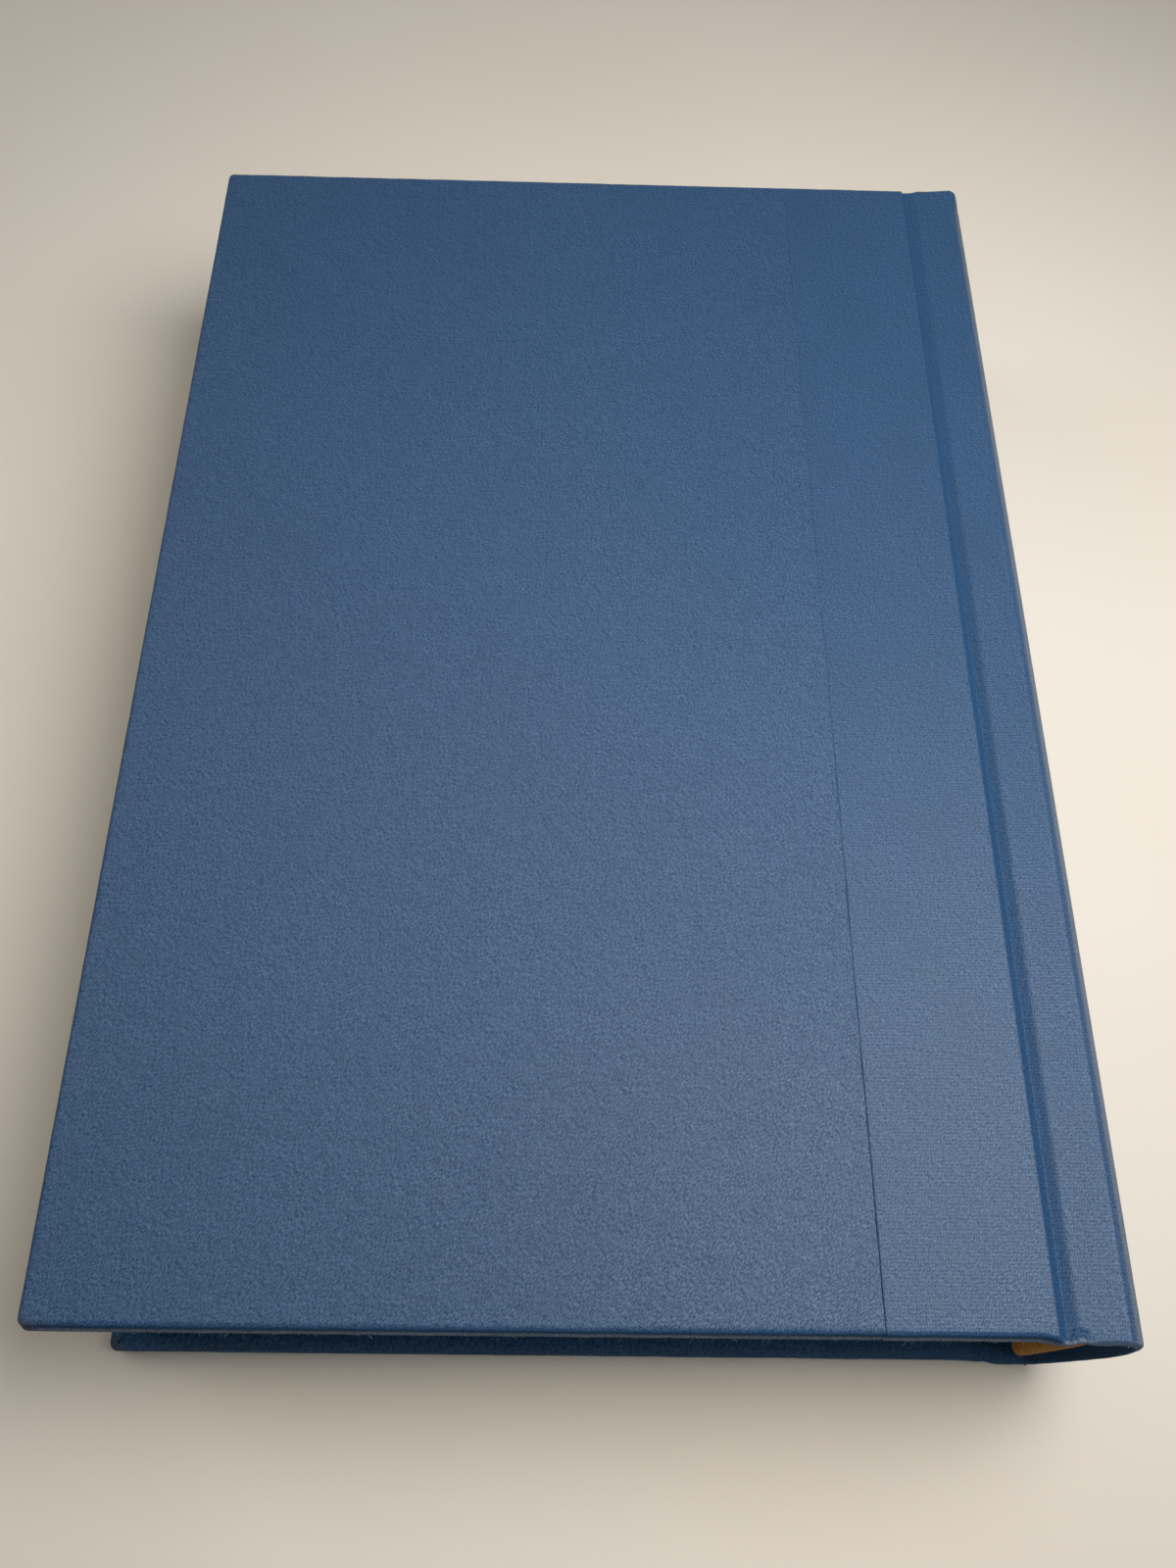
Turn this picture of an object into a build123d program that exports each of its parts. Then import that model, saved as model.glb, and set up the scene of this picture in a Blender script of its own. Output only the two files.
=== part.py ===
"""A case-bound book lying on its front cover: cloth spine, paper sides, rounded back.

The spine points to +X, the head to +Y and the back cover faces up. The origin is the middle of
the footprint on the surface that the book lies on.
"""

import os

from build123d import *

os.makedirs("parts", exist_ok=True)

# Driving dimensions, in millimetres

# Pages
page_width = 152.4
page_height = 228.6
page_thickness = 41.6
back_round = 2.0
fore_edge_hollow = 1.6

# Covers
square = 3.2
fore_square = 4.7
board_thickness = 2.6
covering = 0.35
endpaper = 0.2
turn_in = 14.0
cloth_lap = 25.0
edge_round = 0.6
corner_round = 1.0

# Hinges and spine
joint_gap = 9.1
hinge_clearance = 0.3
groove_width = 3.6
groove_depth = 1.2
groove_wall = 0.9
ridge_drop = 0.4
ridge_width = 7.3
ridge_round = 1.6
spine_round = 7.3
glue_line = 0.05
lining = 0.6
stiffener = 0.8
stiffener_margin = 1.6

# Head and tail bands
band_height = 2.5
band_depth = 3.4
band_margin = 2.0
band_round = 0.8

# Thickness, from the front cover's outer face at Z = 0 upwards
board_inside = covering + board_thickness
turn_in_level = board_inside + covering
cover_stack = turn_in_level + endpaper
page_bottom = cover_stack + endpaper
book_thickness = page_thickness + 2 * page_bottom
mid_height = book_thickness / 2

# The text block's back is a shallow arc, with the lining on it
page_half = page_thickness / 2
shoulder_half = mid_height - groove_depth - covering
back_radius = (shoulder_half**2 + back_round**2) / (2 * back_round)
glue_radius = back_radius + glue_line
lining_radius = glue_radius + lining

# The spine of the case is rounder, so it stands off the block's back and leaves a hollow
ridge_half = mid_height - ridge_drop
spine_radius = (ridge_half**2 + spine_round**2) / (2 * spine_round)
stiffener_radius = spine_radius - covering
hollow_radius = stiffener_radius - stiffener

# Footprint
cover_width = page_width + fore_square - joint_gap
cover_height = page_height + 2 * square
book_width = cover_width + groove_width + ridge_width + spine_round
fore_edge = -book_width / 2
page_fore = fore_edge + fore_square
cover_joint = fore_edge + cover_width
page_back = page_fore + page_width
back_centre = page_back - (back_radius - back_round)
seam = cover_joint - cloth_lap
board_height = cover_height - 2 * covering

# The groove beside each cover and the ridge where the spine starts
groove_half = mid_height - groove_depth
groove_start = cover_joint + hinge_clearance
groove_floor_start = groove_start + groove_wall
groove_end = cover_joint + groove_width
groove_floor_end = groove_end - groove_wall
ridge_corner = groove_end + ridge_width
spine_centre = ridge_corner + spine_round - spine_radius
stiffener_half = ridge_half - stiffener_margin

# Sections across the book are drawn from its middle, looking towards the head
section = Plane((0, 0, mid_height), x_dir=(1, 0, 0), z_dir=(0, -1, 0))
middle = Plane.XY.offset(mid_height)


def strip(x_low, x_high, length, mode=Mode.ADD):
    """A rectangle between two places along X, in the current sketch."""
    with Locations(((x_low + x_high) / 2, 0)):
        Rectangle(x_high - x_low, length, mode=mode)


def arc_band(centre, inner_radius, outer_radius, half_height):
    """A strip that follows the arc of the back or the spine, in the current section sketch."""
    with Locations((centre, 0)):
        Circle(outer_radius)
        Circle(inner_radius, mode=Mode.SUBTRACT)
    with Locations((centre + outer_radius / 2, 0)):
        Rectangle(outer_radius, 2 * half_height, mode=Mode.INTERSECT)


# The pages, sewn and glued as one block: slightly hollow fore-edge and round back, raised shoulders
with BuildPart() as text_block:
    with BuildSketch(section):
        with BuildLine():
            fore_top = (page_fore, page_half)
            fore_bottom = (page_fore, -page_half)
            shoulder_top = (page_back, shoulder_half)
            shoulder_bottom = (page_back, -shoulder_half)
            upper = Polyline(
                fore_top,
                (groove_start, page_half),
                (groove_floor_start, shoulder_half),
                shoulder_top,
            )
            ThreePointArc(shoulder_top, (page_back + back_round, 0), shoulder_bottom)
            mirror(upper, about=Plane.XZ)
            ThreePointArc(fore_bottom, (page_fore + fore_edge_hollow, 0), fore_top)
        make_face()
    extrude(amount=page_height / 2, both=True)
text_block.part.label = "text_block"

# Gauze and paper glued over the back of the pages
with BuildPart() as spine_lining:
    with BuildSketch(section):
        arc_band(back_centre, glue_radius, lining_radius, shoulder_half - lining)
    extrude(amount=page_height / 2, both=True)
spine_lining.part.label = "spine_lining"

# A bead of wound thread across each end of the back
with BuildPart() as head_band:
    with BuildSketch(section.offset(-page_height / 2)):
        arc_band(back_centre, back_radius - band_depth, back_radius, shoulder_half - band_margin)
    extrude(amount=-band_height)
    bead_edges = head_band.faces().sort_by(Axis.Y)[-1].edges().filter_by(GeomType.CIRCLE)
    fillet(bead_edges, radius=min(band_round, band_height / 2, band_depth / 3))
head_band.part.label = "head_band"

with BuildPart() as tail_band:
    mirror(head_band.part, about=Plane.XZ)
tail_band.part.label = "tail_band"

# The free leaf of each endpaper, lying on the pages
with BuildPart() as front_flyleaf:
    with BuildSketch(Plane.XY.offset(cover_stack)):
        strip(page_fore, groove_start, page_height)
    extrude(amount=endpaper)
front_flyleaf.part.label = "front_flyleaf"

with BuildPart() as back_flyleaf:
    mirror(front_flyleaf.part, about=middle)
back_flyleaf.part.label = "back_flyleaf"

# Card strip that keeps the spine of the case round
with BuildPart() as spine_stiffener:
    with BuildSketch(section):
        arc_band(spine_centre, hollow_radius, stiffener_radius, stiffener_half)
    extrude(amount=board_height / 2, both=True)
spine_stiffener.part.label = "spine_stiffener"

# Cloth over the spine, down into both grooves, and turned in over the stiffener's ends
with BuildPart() as spine_cloth:
    with BuildSketch(section):
        with BuildLine():
            upper = Polyline(
                (fore_edge, ridge_half),
                (groove_start, ridge_half),
                (groove_floor_start, groove_half),
                (groove_floor_end, groove_half),
                (groove_end, ridge_half),
                (ridge_corner, ridge_half),
            )
            ThreePointArc(
                (ridge_corner, ridge_half),
                (ridge_corner + spine_round, 0),
                (ridge_corner, -ridge_half),
            )
            mirror(upper, about=Plane.XZ)
            Line((fore_edge, -ridge_half), (fore_edge, ridge_half))
        make_face()
        fillet(vertices().group_by(Axis.X)[-1], radius=ridge_round)
        offset(amount=-covering, kind=Kind.INTERSECTION, mode=Mode.SUBTRACT)
        strip(fore_edge - covering, groove_start, book_thickness, mode=Mode.SUBTRACT)
    extrude(amount=cover_height / 2, both=True)
    for end in (-1, 1):
        with BuildSketch(section.offset(end * cover_height / 2)):
            arc_band(spine_centre, hollow_radius - covering, stiffener_radius, stiffener_half)
        extrude(amount=-end * covering)
        with BuildSketch(section.offset(end * cover_height / 2)):
            arc_band(spine_centre, hollow_radius - covering, hollow_radius, stiffener_half)
        extrude(amount=-end * turn_in)
spine_cloth.part.label = "spine_cloth"

# Stiff board inside each cover
with BuildPart() as front_board:
    with BuildSketch(Plane.XY.offset(covering)):
        strip(fore_edge + covering, cover_joint, board_height)
        fillet(vertices().group_by(Axis.X)[0], radius=corner_round)
    extrude(amount=board_thickness)
front_board.part.label = "front_board"

with BuildPart() as back_board:
    mirror(front_board.part, about=middle)
back_board.part.label = "back_board"

# Paper side of each cover, folded round three edges and turned in
with BuildPart() as front_side_paper:
    with BuildSketch():
        strip(fore_edge, seam, cover_height)
        fillet(vertices().group_by(Axis.X)[0], radius=corner_round + covering)
    extrude(amount=turn_in_level)
    wrapped_edges = front_side_paper.faces().sort_by(Axis.Z)[0].edges().sort_by(Axis.X)[:-1]
    fillet(wrapped_edges, radius=min(edge_round, 2 * covering))
    add(front_board.part, mode=Mode.SUBTRACT)
    with BuildSketch(Plane.XY.offset(board_inside)):
        strip(fore_edge + turn_in, seam, cover_height - 2 * turn_in)
    extrude(amount=covering, mode=Mode.SUBTRACT)
front_side_paper.part.label = "front_side_paper"

with BuildPart() as back_side_paper:
    mirror(front_side_paper.part, about=middle)
back_side_paper.part.label = "back_side_paper"

# Spine cloth where it laps on to each cover, turned in at head and tail
with BuildPart() as front_cloth_lap:
    with BuildSketch():
        strip(seam, cover_joint, cover_height)
    extrude(amount=turn_in_level)
    outer_edges = front_cloth_lap.faces().sort_by(Axis.Z)[0].edges().filter_by(Axis.X)
    fillet(outer_edges, radius=min(edge_round, 2 * covering))
    add(front_board.part, mode=Mode.SUBTRACT)
    with BuildSketch(Plane.XY.offset(board_inside)):
        strip(seam, cover_joint, cover_height - 2 * turn_in)
    extrude(amount=covering, mode=Mode.SUBTRACT)
front_cloth_lap.part.label = "front_cloth_lap"

with BuildPart() as back_cloth_lap:
    mirror(front_cloth_lap.part, about=middle)
back_cloth_lap.part.label = "back_cloth_lap"

# The leaf of each endpaper that is pasted on the board, over the turn-ins
with BuildPart() as front_pastedown:
    with BuildSketch(Plane.XY.offset(turn_in_level)):
        strip(page_fore, cover_joint, page_height)
    extrude(amount=endpaper)
    with BuildSketch(Plane.XY.offset(board_inside)):
        strip(fore_edge + turn_in, cover_joint, cover_height - 2 * turn_in)
    extrude(amount=covering)
front_pastedown.part.label = "front_pastedown"

with BuildPart() as back_pastedown:
    mirror(front_pastedown.part, about=middle)
back_pastedown.part.label = "back_pastedown"

pieces = [
    text_block,
    spine_lining,
    head_band,
    tail_band,
    front_flyleaf,
    back_flyleaf,
    spine_stiffener,
    spine_cloth,
    front_board,
    back_board,
    front_side_paper,
    back_side_paper,
    front_cloth_lap,
    back_cloth_lap,
    front_pastedown,
    back_pastedown,
]
for piece in pieces:
    export_step(piece.part, f"parts/{piece.part.label}.step")

hinge_x = cover_joint + groove_width / 2
print(f"book {book_width:.2f} x {cover_height:.2f} x {book_thickness:.2f} mm")
print(f"cover {cover_width:.2f} mm wide, fore-edge at X = {fore_edge:.3f}, joint at X = {cover_joint:.3f}")
print(f"hinges at X = {hinge_x:.3f}, Z = 0 and Z = {book_thickness:.3f}")
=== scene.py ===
"""A case-bound book with blue paper sides and a blue cloth spine, lying on its front cover."""

import math
from collections import Counter

import bpy
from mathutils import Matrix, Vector, noise


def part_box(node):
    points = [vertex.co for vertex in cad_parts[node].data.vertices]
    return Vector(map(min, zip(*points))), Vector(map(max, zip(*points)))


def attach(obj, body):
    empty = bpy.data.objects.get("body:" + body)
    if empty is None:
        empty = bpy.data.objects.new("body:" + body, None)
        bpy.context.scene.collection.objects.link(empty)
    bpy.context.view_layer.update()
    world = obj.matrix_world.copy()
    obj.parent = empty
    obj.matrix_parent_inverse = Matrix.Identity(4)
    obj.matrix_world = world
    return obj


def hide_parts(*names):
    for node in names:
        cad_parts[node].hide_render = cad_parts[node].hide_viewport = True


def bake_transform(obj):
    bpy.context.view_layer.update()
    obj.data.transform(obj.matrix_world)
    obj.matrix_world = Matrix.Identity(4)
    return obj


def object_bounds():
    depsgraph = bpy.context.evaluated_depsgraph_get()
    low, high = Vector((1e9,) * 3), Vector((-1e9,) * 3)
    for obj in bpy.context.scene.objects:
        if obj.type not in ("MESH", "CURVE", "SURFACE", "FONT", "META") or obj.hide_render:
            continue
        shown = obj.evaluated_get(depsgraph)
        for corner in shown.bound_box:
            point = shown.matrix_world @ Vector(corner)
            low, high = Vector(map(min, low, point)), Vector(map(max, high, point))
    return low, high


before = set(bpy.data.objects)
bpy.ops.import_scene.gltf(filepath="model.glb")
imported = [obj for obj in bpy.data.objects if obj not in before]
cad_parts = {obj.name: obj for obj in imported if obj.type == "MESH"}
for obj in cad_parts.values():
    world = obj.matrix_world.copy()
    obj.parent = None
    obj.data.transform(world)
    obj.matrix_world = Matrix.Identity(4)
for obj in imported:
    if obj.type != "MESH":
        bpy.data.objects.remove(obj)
cad_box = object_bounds()


# Pages: some two hundred pairs of cream leaves, sewn in sections and glued at the back.
# The back is gently rounded and its shoulders are hammered out, and the trimmed fore-edge is
# hollow by nearly as much. Every leaf edge is a fine step, and the sections differ a little.
MM = 0.001
BACK_ROUND = 2.0 * MM
FORE_HOLLOW = 1.6 * MM
SHOULDER_WIDTH = 1.2 * MM
LEAF_PAIR = 0.2 * MM
PAIRS_IN_SECTION = 8
LEAF_STEPS = 6
END_TRIM = 0.05 * MM
STREAKS_PER_METRE = 60.0
LINES_PER_MM = 8.0

# How far a section, and a pair of leaves in it, stand out at the fore-edge and at the ends
FORE_SLIP = (0.06 * MM, 0.05 * MM)
END_SLIP = (0.05 * MM, 0.04 * MM)


class Wire:
    """A node socket: arithmetic on it adds Math nodes, and node() adds any other node."""

    def __init__(self, tree, socket=None):
        self.tree = tree
        self.socket = socket

    def node(self, kind, settings, sockets, output=0):
        made = self.tree.nodes.new(kind)
        for name, value in settings.items():
            setattr(made, name, value)
        for name, value in sockets.items():
            if isinstance(value, Wire):
                self.tree.links.new(value.socket, made.inputs[name])
            else:
                made.inputs[name].default_value = value
        return Wire(self.tree, made.outputs[output] if made.outputs else None)

    def math(self, operation, *values):
        return self.node("ShaderNodeMath", {"operation": operation}, dict(enumerate(values)))

    def __add__(self, other):
        return self.math("ADD", self, other)

    def __sub__(self, other):
        return self.math("SUBTRACT", self, other)

    def __rsub__(self, other):
        return self.math("SUBTRACT", other, self)

    def __mul__(self, other):
        return self.math("MULTIPLY", self, other)

    __radd__ = __add__
    __rmul__ = __mul__

    def axis(self, name):
        """One coordinate of this vector."""
        return self.node("ShaderNodeSeparateXYZ", {}, {"Vector": self}, name)

    def wave(self, pitch):
        """Waves from 0 to 1 along this length in metres, one to each pitch."""
        phase = self * (2 * math.pi / pitch)
        return self.math("SINE", phase) * 0.5 + 0.5

    def between(self, low, high):
        """0 below low, 1 above high, and smooth from one to the other."""
        sockets = {"Value": self, "From Min": low, "From Max": high}
        return self.node("ShaderNodeMapRange", {"interpolation_type": "SMOOTHSTEP"}, sockets)

    def mix(self, plain, full):
        """The colour plain where this is 0 and full where it is 1."""
        return self.node("ShaderNodeMix", {"data_type": "RGBA"}, {0: self, 6: plain, 7: full}, 2)

    def grain(self, size, detail=2.0, rough=0.5, turn=0.0, stretch=1.0):
        """Noise on this vector with features of that size in metres, drawn out along one way."""
        place = self.node("ShaderNodeMapping", {"vector_type": "TEXTURE"}, {
            "Vector": self,
            "Rotation": (0.0, 0.0, math.radians(turn)),
            "Scale": (size * stretch, size, size),
        })
        return self.node("ShaderNodeTexNoise", {}, {
            "Vector": place,
            "Scale": 1.0,
            "Detail": detail,
            "Roughness": rough,
        })


def new_finish(name):
    """A material, and a wire that adds nodes to it."""
    material = bpy.data.materials.new(name)
    material.use_nodes = True
    material.node_tree.nodes.clear()
    return material, Wire(material.node_tree)


def surface(wire, colour, roughness, height, relief, specular=0.3, size=0.0, size_roughness=0.5):
    """Ends a finish: relief is how far the height stands out, in metres, and size a dull glaze, whose
    weight may carry painted sheen.
    """
    bump = wire.node("ShaderNodeBump", {}, {"Height": height, "Distance": relief})
    shader = wire.node("ShaderNodeBsdfPrincipled", {}, {
        "Base Color": colour,
        "Roughness": roughness,
        "Normal": bump,
        "Specular IOR Level": specular,
        "Coat Weight": size,
        "Coat Roughness": size_roughness,
        "Coat IOR": 1.65,
        "Coat Normal": bump,
    })
    wire.node("ShaderNodeOutputMaterial", {}, {"Surface": shader})


def object_place(wire):
    return wire.node("ShaderNodeTexCoord", {}, {}, "Object")


def attribute(wire, name):
    return wire.node("ShaderNodeAttribute", {"attribute_name": name}, {}, "Fac")


def paint(red, green, blue):
    """A colour from its 0 to 255 sRGB levels."""
    levels = [level / 255 for level in (red, green, blue)]
    return [(c / 12.92 if c <= 0.04045 else ((c + 0.055) / 1.055) ** 2.4) for c in levels] + [1.0]


def smooth(low, high, value):
    """0 at low, 1 at high, and smooth from one to the other; low may be the greater."""
    share = min(max((value - low) / (high - low), 0.0), 1.0)
    return share * share * (3 - 2 * share)


def wander(x, y, z=0.5):
    """Gentle noise from -1 to 1, the same on every run."""
    return noise.noise(Vector((x, y, z)))


def new_piece(name, points, faces, material, values=None, rounded=True):
    """An object made of points in metres, with sharp cut edges and named numbers on its points."""
    mesh = bpy.data.meshes.new(name)
    mesh.from_pydata(points, [], faces)
    mesh.validate()
    for label, numbers in (values or {}).items():
        mesh.attributes.new(label, "FLOAT", "POINT").data.foreach_set("value", numbers)
    if rounded:
        mesh.shade_smooth()
    uses = Counter(key for face in mesh.polygons for key in face.edge_keys)
    for edge in mesh.edges:
        edge.use_edge_sharp = uses[edge.key] == 1
    mesh.materials.append(material)
    piece = bpy.data.objects.new(name, mesh)
    bpy.context.scene.collection.objects.link(piece)
    return piece


page_low, page_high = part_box("text_block")
page_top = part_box("back_flyleaf")[0].z
page_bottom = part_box("front_flyleaf")[1].z
mid_z = (page_top + page_bottom) / 2
page_half = (page_top - page_bottom) / 2
shoulder_half = (page_high.z - page_low.z) / 2
shoulder_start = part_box("back_flyleaf")[1].x
back_radius = (shoulder_half**2 + BACK_ROUND**2) / (2 * BACK_ROUND)
back_centre = page_high.x - back_radius
fore_radius = (page_half**2 + FORE_HOLLOW**2) / (2 * FORE_HOLLOW)

page_finish, wire = new_finish("cream book paper")
leaf_height = attribute(wire, "leaf")
place = object_place(wire)
edge_place = wire.node("ShaderNodeCombineXYZ", {}, {
    "X": place.axis("X") * STREAKS_PER_METRE,
    "Y": place.axis("Y") * STREAKS_PER_METRE,
    "Z": leaf_height * LINES_PER_MM,
})
leaf_lines = edge_place.grain(1.0, 2.0, 0.6)
tooth = place.grain(0.25 * MM, 2.0)
cloud = place.grain(22 * MM, 2.0)
page_colour = leaf_lines.between(0.30, 0.68).mix(paint(196, 184, 156), paint(238, 230, 208))
page_colour = (cloud.between(0.35, 0.75) * 0.35).mix(page_colour, paint(214, 198, 164))
surface(wire, page_colour, 0.8 + tooth * 0.15, leaf_lines + tooth * 0.3, 0.05 * MM, 0.3)


def leaf_outline(share, trim_fore, trim_end):
    """One leaf's edge, from the fore-edge to the back at the tail and back again at the head."""
    flat = (2 * share - 1) * page_half
    flared = (2 * share - 1) * shoulder_half
    fore = page_low.x + FORE_HOLLOW - fore_radius + math.sqrt(fore_radius**2 - flat**2) + trim_fore
    back = back_centre + math.sqrt(back_radius**2 - flared**2)
    columns = [fore + (shoulder_start - fore) * i / LEAF_STEPS for i in range(LEAF_STEPS + 1)]
    columns += [shoulder_start + SHOULDER_WIDTH * (i + 1) / LEAF_STEPS for i in range(LEAF_STEPS)]
    bent = columns[-1]
    columns += [bent + (back - bent) * (i + 1) / LEAF_STEPS for i in range(LEAF_STEPS)]
    heights = [
        mid_z + flat + (flared - flat) * smooth(shoulder_start, shoulder_start + SHOULDER_WIDTH, x)
        for x in columns
    ]
    tail = [(x, page_low.y + trim_end, z) for x, z in zip(columns, heights)]
    head = [(x, page_high.y - trim_end, z) for x, z in zip(columns, heights)]
    return tail + head[::-1]


page_points, page_faces, leaf_values = [], [], []
pairs = round(2 * page_half / LEAF_PAIR)
for pair in range(pairs):
    section = pair // PAIRS_IN_SECTION
    trim_fore = FORE_SLIP[0] * wander(section * 1.7, 3.1) + FORE_SLIP[1] * wander(pair * 0.9, 7.7)
    trim_end = END_SLIP[0] * wander(section * 1.3, 9.2) + END_SLIP[1] * wander(pair * 1.1, 1.4)
    for share in (pair / pairs, (pair + 1) / pairs):
        leaf = leaf_outline(share, trim_fore, END_TRIM + trim_end)
        page_points += leaf
        leaf_values += [share * 2 * page_half / MM] * len(leaf)
ring = len(leaf)
for level in range(2 * pairs - 1):
    for i in range(ring):
        a, b = level * ring + i, level * ring + (i + 1) % ring
        page_faces.append((a, b, b + ring, a + ring))
for first, flip in ((0, True), ((2 * pairs - 1) * ring, False)):
    for i in range(ring // 2 - 1):
        quad = (first + i, first + i + 1, first + ring - 2 - i, first + ring - 1 - i)
        page_faces.append(quad[::-1] if flip else quad)
pages = new_piece("pages", page_points, page_faces, page_finish, {"leaf": leaf_values}, rounded=False)
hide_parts("text_block")
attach(pages, "book_block")


# Back lining: open gauze and paper glued over the sewn backs of the sections.
# It stays the solid from the frame, seen only through the hollow of the spine.
GAUZE_PITCH = 1.1 * MM

lining_finish, wire = new_finish("glued gauze")
place = object_place(wire)
gauze = wire.math("MAXIMUM", place.axis("Y").wave(GAUZE_PITCH), place.axis("Z").wave(GAUZE_PITCH))
glue = place.grain(3 * MM, 3.0)
lining_colour = gauze.between(0.40, 0.95).mix(paint(196, 186, 162), paint(226, 220, 204))
lining_colour = (glue.between(0.5, 0.8) * 0.5).mix(lining_colour, paint(178, 160, 122))
surface(wire, lining_colour, 0.75 + glue * 0.2, gauze, 0.24 * MM, 0.3)


def finish_solid(node, material):
    """Gives a solid from the frame its finish."""
    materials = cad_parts[node].data.materials
    materials.clear()
    materials.append(material)


finish_solid("spine_lining", lining_finish)


# Boards and spine card: grey binder's board, rolled from waste fibre, under the covering.
# The boards' cut edges are rounded by the press and by handling, so the covering folds softly
# round them. The spine card stays the solid from the frame, inside the cloth.
BOARD_TRIM = 0.35 * MM
BOARD_ROUND = 0.7 * MM

card_finish, wire = new_finish("grey binder's board")
place = object_place(wire)
pulp = place.grain(0.7 * MM, 4.0, 0.65)
card_colour = pulp.between(0.3, 0.75).mix(paint(122, 116, 106), paint(160, 153, 140))
surface(wire, card_colour, 0.85 + pulp * 0.1, pulp, 0.06 * MM, 0.3)
finish_solid("spine_stiffener", card_finish)

for side in ("back", "front"):
    board_low, board_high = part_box(side + "_board")
    low_x, high_x = board_low.x + BOARD_TRIM, board_high.x
    low_y, high_y = board_low.y + BOARD_TRIM, board_high.y - BOARD_TRIM
    border = [(low_x, low_y), (high_x, low_y), (high_x, high_y), (low_x, high_y)]
    corners = [(x, y, z) for z in (board_low.z, board_high.z) for x, y in border]
    faces = [(3, 2, 1, 0), (4, 5, 6, 7)]
    faces += [(i, (i + 1) % 4, (i + 1) % 4 + 4, i + 4) for i in range(4)]
    board = new_piece(side + "_card", corners, faces, card_finish, rounded=False)
    rounding = board.modifiers.new("rounding", "BEVEL")
    rounding.width = BOARD_ROUND
    rounding.segments = 3
    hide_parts(side + "_board")
    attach(board, side + "_cover")


# Head and tail bands: mustard thread wound round a cord core, across each end of the back.
# Each band follows the round of the back and is held by the lining behind it.
BAND_BEAD = 1.2 * MM
BAND_STEPS = 40
THREAD = 0.21 * MM
THREAD_PITCH = 0.36 * MM

band_finish, wire = new_finish("wound mustard thread")
place = object_place(wire)
twist = place.grain(0.16 * MM, 2.0, 0.6, 35.0, 4.0)
worn = place.grain(2.5 * MM, 3.0)
band_colour = twist.between(0.3, 0.7).mix(paint(150, 104, 44), paint(206, 154, 78))
band_colour = (worn.between(0.5, 0.75) * 0.5).mix(band_colour, paint(126, 88, 42))
surface(wire, band_colour, 0.6 + twist * 0.2, twist, 0.05 * MM)


def new_tree(name, inputs):
    """A Geometry Nodes tree with named inputs, and a wire for each of them."""
    tree = bpy.data.node_groups.new(name, "GeometryNodeTree")
    kinds = {"Geometry": "NodeSocketGeometry", "Finish": "NodeSocketMaterial"}
    for label in ("Geometry", *inputs, "Finish"):
        kind = kinds.get(label, "NodeSocketFloat")
        tree.interface.new_socket(label, in_out="INPUT", socket_type=kind)
    tree.interface.new_socket("Geometry", in_out="OUTPUT", socket_type="NodeSocketGeometry")
    source = tree.nodes.new("NodeGroupInput")
    return {socket.name: Wire(tree, socket) for socket in source.outputs if socket.name}


def points_along(curve, gap):
    """Points on a curve, one at every gap."""
    sockets = {"Curve": curve, "Length": gap}
    return curve.node("GeometryNodeCurveToPoints", {"mode": "LENGTH"}, sockets)


def circle(radius, corners):
    """A round curve with a radius given by a wire."""
    sockets = {"Resolution": corners, "Radius": radius}
    return radius.node("GeometryNodeCurvePrimitiveCircle", {}, sockets)


def rod(curve, profile, capped=False):
    """A mesh that follows a curve, with the profile as its section."""
    sockets = {"Curve": curve, "Profile Curve": profile, "Fill Caps": capped}
    return curve.node("GeometryNodeCurveToMesh", {}, sockets)


def end_tree(wires, geometry):
    """Makes the instances real, gives them the finish, and ends the tree."""
    real = geometry.node("GeometryNodeRealizeInstances", {}, {"Geometry": geometry})
    sockets = {"Geometry": real, "Material": wires["Finish"]}
    painted = real.node("GeometryNodeSetMaterial", {}, sockets)
    end = painted.tree.nodes.new("NodeGroupOutput")
    painted.tree.links.new(painted.socket, end.inputs[0])
    return painted.tree


def grow(name, line, tree, values):
    """A plain mesh from a tree that grows on a line of points in metres."""
    mesh = bpy.data.meshes.new(name)
    mesh.from_pydata(line, [(i, i + 1) for i in range(len(line) - 1)], [])
    piece = bpy.data.objects.new(name, mesh)
    bpy.context.scene.collection.objects.link(piece)
    modifier = piece.modifiers.new(name, "NODES")
    modifier.node_group = tree
    for item in tree.interface.items_tree:
        if item.in_out == "INPUT" and item.name in values:
            modifier[item.identifier] = values[item.name]
    grown = piece.evaluated_get(bpy.context.evaluated_depsgraph_get())
    finished = bpy.data.meshes.new_from_object(grown)
    piece.modifiers.clear()
    piece.data = finished
    finished.shade_smooth()
    return piece


wires = new_tree("wound band", ("Bead", "Thread", "Pitch"))
core = wires["Geometry"].node("GeometryNodeMeshToCurve", {}, {"Mesh": wires["Geometry"]})
turns = points_along(core, wires["Pitch"])
turn_angle = Wire(turns.tree, turns.socket.node.outputs["Rotation"])
loop = circle(wires["Bead"], 12)
wound = rod(loop, circle(wires["Thread"], 5))
sockets = {"Points": turns, "Instance": wound, "Rotation": turn_angle}
threads = core.node("GeometryNodeInstanceOnPoints", {}, sockets)
filling = rod(core, loop, capped=True)
joined = core.node("GeometryNodeJoinGeometry", {}, {"Geometry": threads})
core.tree.links.new(filling.socket, joined.socket.node.inputs["Geometry"])
band_tree = end_tree(wires, joined)

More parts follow.
